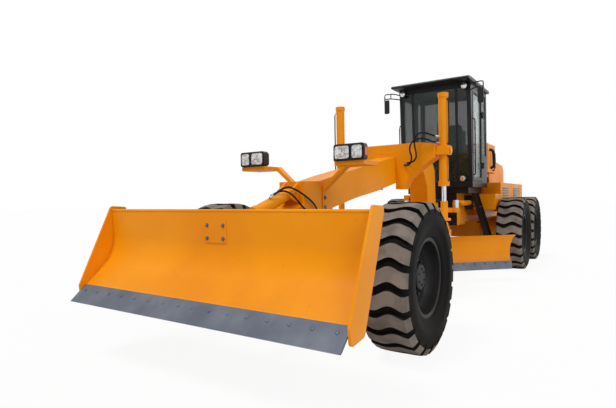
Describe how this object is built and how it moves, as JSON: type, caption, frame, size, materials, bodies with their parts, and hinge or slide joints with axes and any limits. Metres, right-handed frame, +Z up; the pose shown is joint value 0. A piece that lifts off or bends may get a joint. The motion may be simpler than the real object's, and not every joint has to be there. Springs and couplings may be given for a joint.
{
  "type": "motor grader",
  "caption": "Orange motor grader with an arched articulated frame, a turned grading blade under it, a black cab, tandem rear wheels and a raised front dozer blade.",
  "frame": {"origin": "On the ground, under the middle of the whole machine.", "axes": "+Z up; the machine drives towards -Y; its left side is +X."},
  "size_m": [2.8146, 10.0098, 3.436],
  "materials": {
    "body_orange": "satin",
    "frame_black": "satin",
    "rim_black": "satin",
    "tyre_rubber": "matte",
    "edge_steel": "satin",
    "chrome_rod": "polished",
    "cab_glass": "clear",
    "cast_iron": "rough",
    "black_plastic": "matte",
    "seat_fabric": "woven",
    "roof_pale": "satin"
  },
  "bodies": {
    "rear_frame": {"rear_frame": "body_orange", "engine": "cast_iron", "hood": "body_orange", "hydraulic_tank": "body_orange", "intake": "black_plastic", "side_boxes": "body_orange", "cab_shell": "frame_black", "cab_roof": "roof_pale", "cab_glass": "cab_glass", "seat": "seat_fabric", "console": "black_plastic", "cab_fittings": "black_plastic", "articulation_cylinders": "body_orange"},
    "front_frame": {"main_frame": "body_orange", "lift_saddle": "body_orange", "lift_cylinders": "body_orange", "lamp_posts": "body_orange", "headlamps": "black_plastic"},
    "axle": {"axle_beam": "body_orange"},
    "lean_left": {"yoke_left": "body_orange"},
    "lean_right": {"yoke_right": "body_orange"},
    "knuckle_left": {"knuckle_left": "body_orange"},
    "knuckle_right": {"knuckle_right": "body_orange"},
    "lean_bar": {"lean_bar": "body_orange"},
    "tie_rod": {"tie_rod": "body_orange"},
    "tandem_left": {"tandem_left": "body_orange"},
    "tandem_right": {"tandem_right": "body_orange"},
    "drawbar": {"drawbar": "body_orange"},
    "circle": {"circle": "body_orange"},
    "blade_carrier": {"blade_carrier": "body_orange"},
    "blade": {"moldboard": "body_orange", "cutting_edge": "edge_steel"},
    "lift_rods": {"lift_rods": "chrome_rod"},
    "dozer": {"dozer_blade": "body_orange", "dozer_edge": "edge_steel"},
    "dozer_barrel": {"dozer_barrel": "body_orange"},
    "dozer_rod": {"dozer_rod": "chrome_rod"},
    "door_left": {"door_left": "frame_black", "door_glass_left": "cab_glass"},
    "door_right": {"door_right": "frame_black", "door_glass_right": "cab_glass"},
    "articulation_rod_left": {"articulation_rod_left": "chrome_rod"},
    "articulation_rod_right": {"articulation_rod_right": "chrome_rod"},
    "wheel_front_left": {"tyre_front_left": "tyre_rubber", "rim_front_left": "rim_black"},
    "wheel_front_right": {"tyre_front_right": "tyre_rubber", "rim_front_right": "rim_black"},
    "wheel_middle_left": {"tyre_middle_left": "tyre_rubber", "rim_middle_left": "rim_black"},
    "wheel_middle_right": {"tyre_middle_right": "tyre_rubber", "rim_middle_right": "rim_black"},
    "wheel_rear_left": {"tyre_rear_left": "tyre_rubber", "rim_rear_left": "rim_black"},
    "wheel_rear_right": {"tyre_rear_right": "tyre_rubber", "rim_rear_right": "rim_black"}
  },
  "joints": [
    {"name": "articulation", "type": "hinge", "parent": "rear_frame", "child": "front_frame", "pos_m": [0, 0.784, 1.1], "axis": [0, 0, 1], "range_deg": [-25, 25]},
    {"name": "articulation_slide_left", "type": "slide", "parent": "rear_frame", "child": "articulation_rod_left", "axis": [0, 1, 0], "range_m": [-0.183, 0.183]},
    {"name": "articulation_slide_right", "type": "slide", "parent": "rear_frame", "child": "articulation_rod_right", "axis": [0, -1, 0], "range_m": [-0.183, 0.183]},
    {"name": "axle_swing", "type": "hinge", "parent": "front_frame", "child": "axle", "pos_m": [0, -3.266, 0.76], "axis": [0, 1, 0], "range_deg": [-15, 15]},
    {"name": "lean_left", "type": "hinge", "parent": "axle", "child": "lean_left", "pos_m": [0.74, -3.266, 0.675], "axis": [0, -1, 0], "range_deg": [-17, 17]},
    {"name": "lean_right", "type": "hinge", "parent": "axle", "child": "lean_right", "pos_m": [-0.74, -3.266, 0.675], "axis": [0, -1, 0], "range_deg": [-17, 17]},
    {"name": "lean_bar_slide", "type": "slide", "parent": "axle", "child": "lean_bar", "axis": [-1, 0, 0], "range_m": [-0.075, 0.075]},
    {"name": "steer_left", "type": "hinge", "parent": "lean_left", "child": "knuckle_left", "pos_m": [0.85, -3.266, 0.675], "axis": [0, 0, 1], "range_deg": [-45, 45]},
    {"name": "steer_right", "type": "hinge", "parent": "lean_right", "child": "knuckle_right", "pos_m": [-0.85, -3.266, 0.675], "axis": [0, 0, 1], "range_deg": [-45, 45]},
    {"name": "tie_rod_slide", "type": "slide", "parent": "axle", "child": "tie_rod", "axis": [-1, 0, 0], "range_m": [-0.185, 0.185]},
    {"name": "roll_front_left", "type": "hinge", "parent": "knuckle_left", "child": "wheel_front_left", "pos_m": [1.135, -3.266, 0.675], "axis": [-1, 0, 0], "continuous": true},
    {"name": "roll_front_right", "type": "hinge", "parent": "knuckle_right", "child": "wheel_front_right", "pos_m": [-1.135, -3.266, 0.675], "axis": [-1, 0, 0], "continuous": true},
    {"name": "roll_middle_left", "type": "hinge", "parent": "tandem_left", "child": "wheel_middle_left", "pos_m": [1.135, 2.184, 0.675], "axis": [-1, 0, 0], "continuous": true},
    {"name": "roll_middle_right", "type": "hinge", "parent": "tandem_right", "child": "wheel_middle_right", "pos_m": [-1.135, 2.184, 0.675], "axis": [-1, 0, 0], "continuous": true},
    {"name": "roll_rear_left", "type": "hinge", "parent": "tandem_left", "child": "wheel_rear_left", "pos_m": [1.135, 3.724, 0.675], "axis": [-1, 0, 0], "continuous": true},
    {"name": "roll_rear_right", "type": "hinge", "parent": "tandem_right", "child": "wheel_rear_right", "pos_m": [-1.135, 3.724, 0.675], "axis": [-1, 0, 0], "continuous": true},
    {"name": "tandem_rock_left", "type": "hinge", "parent": "rear_frame", "child": "tandem_left", "pos_m": [0.7, 2.954, 0.675], "axis": [-1, 0, 0], "range_deg": [-15, 15]},
    {"name": "tandem_rock_right", "type": "hinge", "parent": "rear_frame", "child": "tandem_right", "pos_m": [-0.7, 2.954, 0.675], "axis": [-1, 0, 0], "range_deg": [-15, 15]},
    {"name": "drawbar_lift", "type": "hinge", "parent": "front_frame", "child": "drawbar", "pos_m": [0, -2.936, 0.88], "axis": [1, 0, 0], "range_deg": [-15.5, 5.5]},
    {"name": "lift_rod_slide", "type": "slide", "parent": "front_frame", "child": "lift_rods", "axis": [0, 0, 1], "range_m": [-0.507, 0.181]},
    {"name": "circle_turn", "type": "hinge", "parent": "drawbar", "child": "circle", "pos_m": [0, -0.516, 0.83], "axis": [0, 0, 1], "continuous": true},
    {"name": "blade_tip", "type": "hinge", "parent": "circle", "child": "blade_carrier", "pos_m": [-0.16709, -0.33682, 0.33], "axis": [0.7314, 0.682, 0], "range_deg": [-5, 40]},
    {"name": "blade_shift", "type": "slide", "parent": "blade_carrier", "child": "blade", "axis": [0.7314, 0.682, 0], "range_m": [-0.6, 0.6]},
    {"name": "dozer_lift", "type": "hinge", "parent": "front_frame", "child": "dozer", "pos_m": [0, -3.666, 0.85], "axis": [-1, 0, 0], "range_deg": [-26, 4]},
    {"name": "dozer_cylinder_swing", "type": "hinge", "parent": "front_frame", "child": "dozer_barrel", "pos_m": [0, -3.566, 1.44], "axis": [-1, 0, 0], "range_deg": [-17.5, 2.8]},
    {"name": "dozer_rod_slide", "type": "slide", "parent": "dozer_barrel", "child": "dozer_rod", "axis": [0, 0.9487, 0.3162], "range_m": [-0.222, 0.035]},
    {"name": "door_swing_left", "type": "hinge", "parent": "rear_frame", "child": "door_left", "pos_m": [0.672, 1.814, 2.4], "axis": [0, 0, 1], "range_deg": [0, 85]},
    {"name": "door_swing_right", "type": "hinge", "parent": "rear_frame", "child": "door_right", "pos_m": [-0.672, 1.814, 2.4], "axis": [0, 0, -1], "range_deg": [0, 85]}
  ],
  "couplings": [
    {"joint": "articulation_slide_left", "follows": "articulation", "m_per_rad": 0.4165},
    {"joint": "articulation_slide_right", "follows": "articulation", "m_per_rad": 0.4165},
    {"joint": "lean_right", "follows": "lean_left", "ratio": 1},
    {"joint": "lean_bar_slide", "follows": "lean_left", "m_per_rad": 0.25},
    {"joint": "steer_right", "follows": "steer_left", "ratio": 1},
    {"joint": "tie_rod_slide", "follows": "steer_left", "m_per_rad": 0.234},
    {"joint": "lift_rod_slide", "follows": "drawbar_lift", "m_per_rad": 1.862},
    {"joint": "dozer_cylinder_swing", "follows": "dozer_lift", "ratio": 0.67},
    {"joint": "dozer_rod_slide", "follows": "dozer_lift", "m_per_rad": 0.485}
  ]
}
